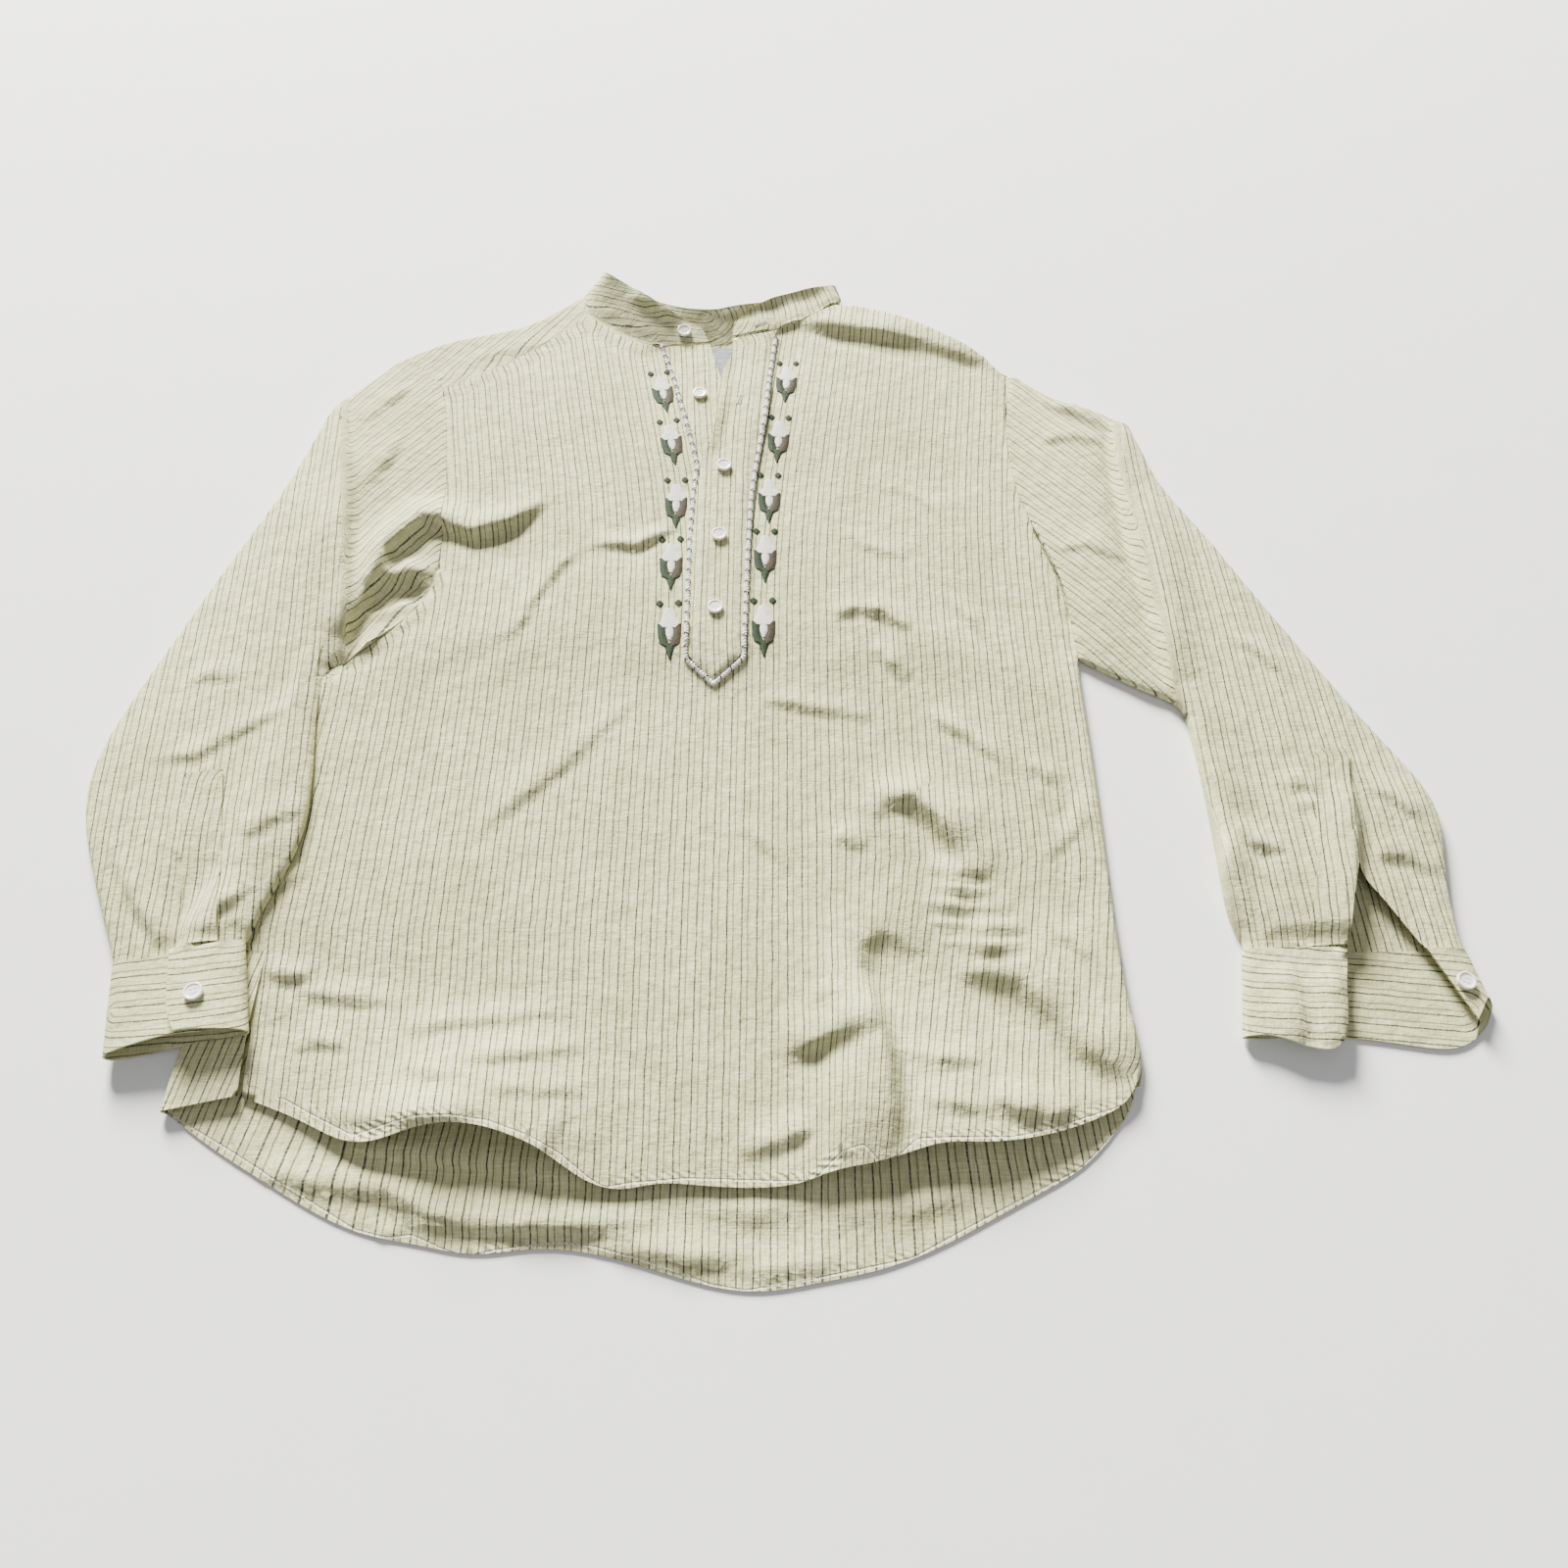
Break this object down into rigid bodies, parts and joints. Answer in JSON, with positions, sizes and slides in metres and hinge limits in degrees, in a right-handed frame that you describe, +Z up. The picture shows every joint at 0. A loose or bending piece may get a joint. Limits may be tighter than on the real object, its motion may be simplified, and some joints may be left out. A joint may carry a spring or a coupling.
{
  "type": "kurta",
  "caption": "Long-sleeved band-collar kurta in striped linen, laid flat with its front up, its placket half undone and a cuff open.",
  "frame": {"origin": "on the surface that the garment lies on, under the middle of its outline", "axes": "+X to the right of the laid garment as it is looked at, along its span from cuff to cuff, +Y from the hem to the collar, +Z up from the surface, out of the front"},
  "size_m": [0.912, 0.8306, 0.027],
  "materials": {
    "striped_linen": "matte",
    "label_cloth": "matte",
    "button_white": "gloss"
  },
  "bodies": {
    "root": {"front_panel": "striped_linen", "back_panel": "striped_linen", "yoke": "striped_linen", "collar_band": "striped_linen", "placket_underlap": "striped_linen", "placket_overlap": "striped_linen", "sleeve_left": "striped_linen", "sleeve_right": "striped_linen", "cuff_left": "striped_linen", "cuff_right": "striped_linen", "sleeve_placket_left": "striped_linen", "sleeve_placket_right": "striped_linen", "neck_label": "label_cloth", "button_collar": "button_white", "button_front_1": "button_white", "button_front_2": "button_white", "button_front_3": "button_white", "button_front_4": "button_white", "button_cuff_left": "button_white", "button_cuff_right": "button_white"}
  },
  "joints": []
}
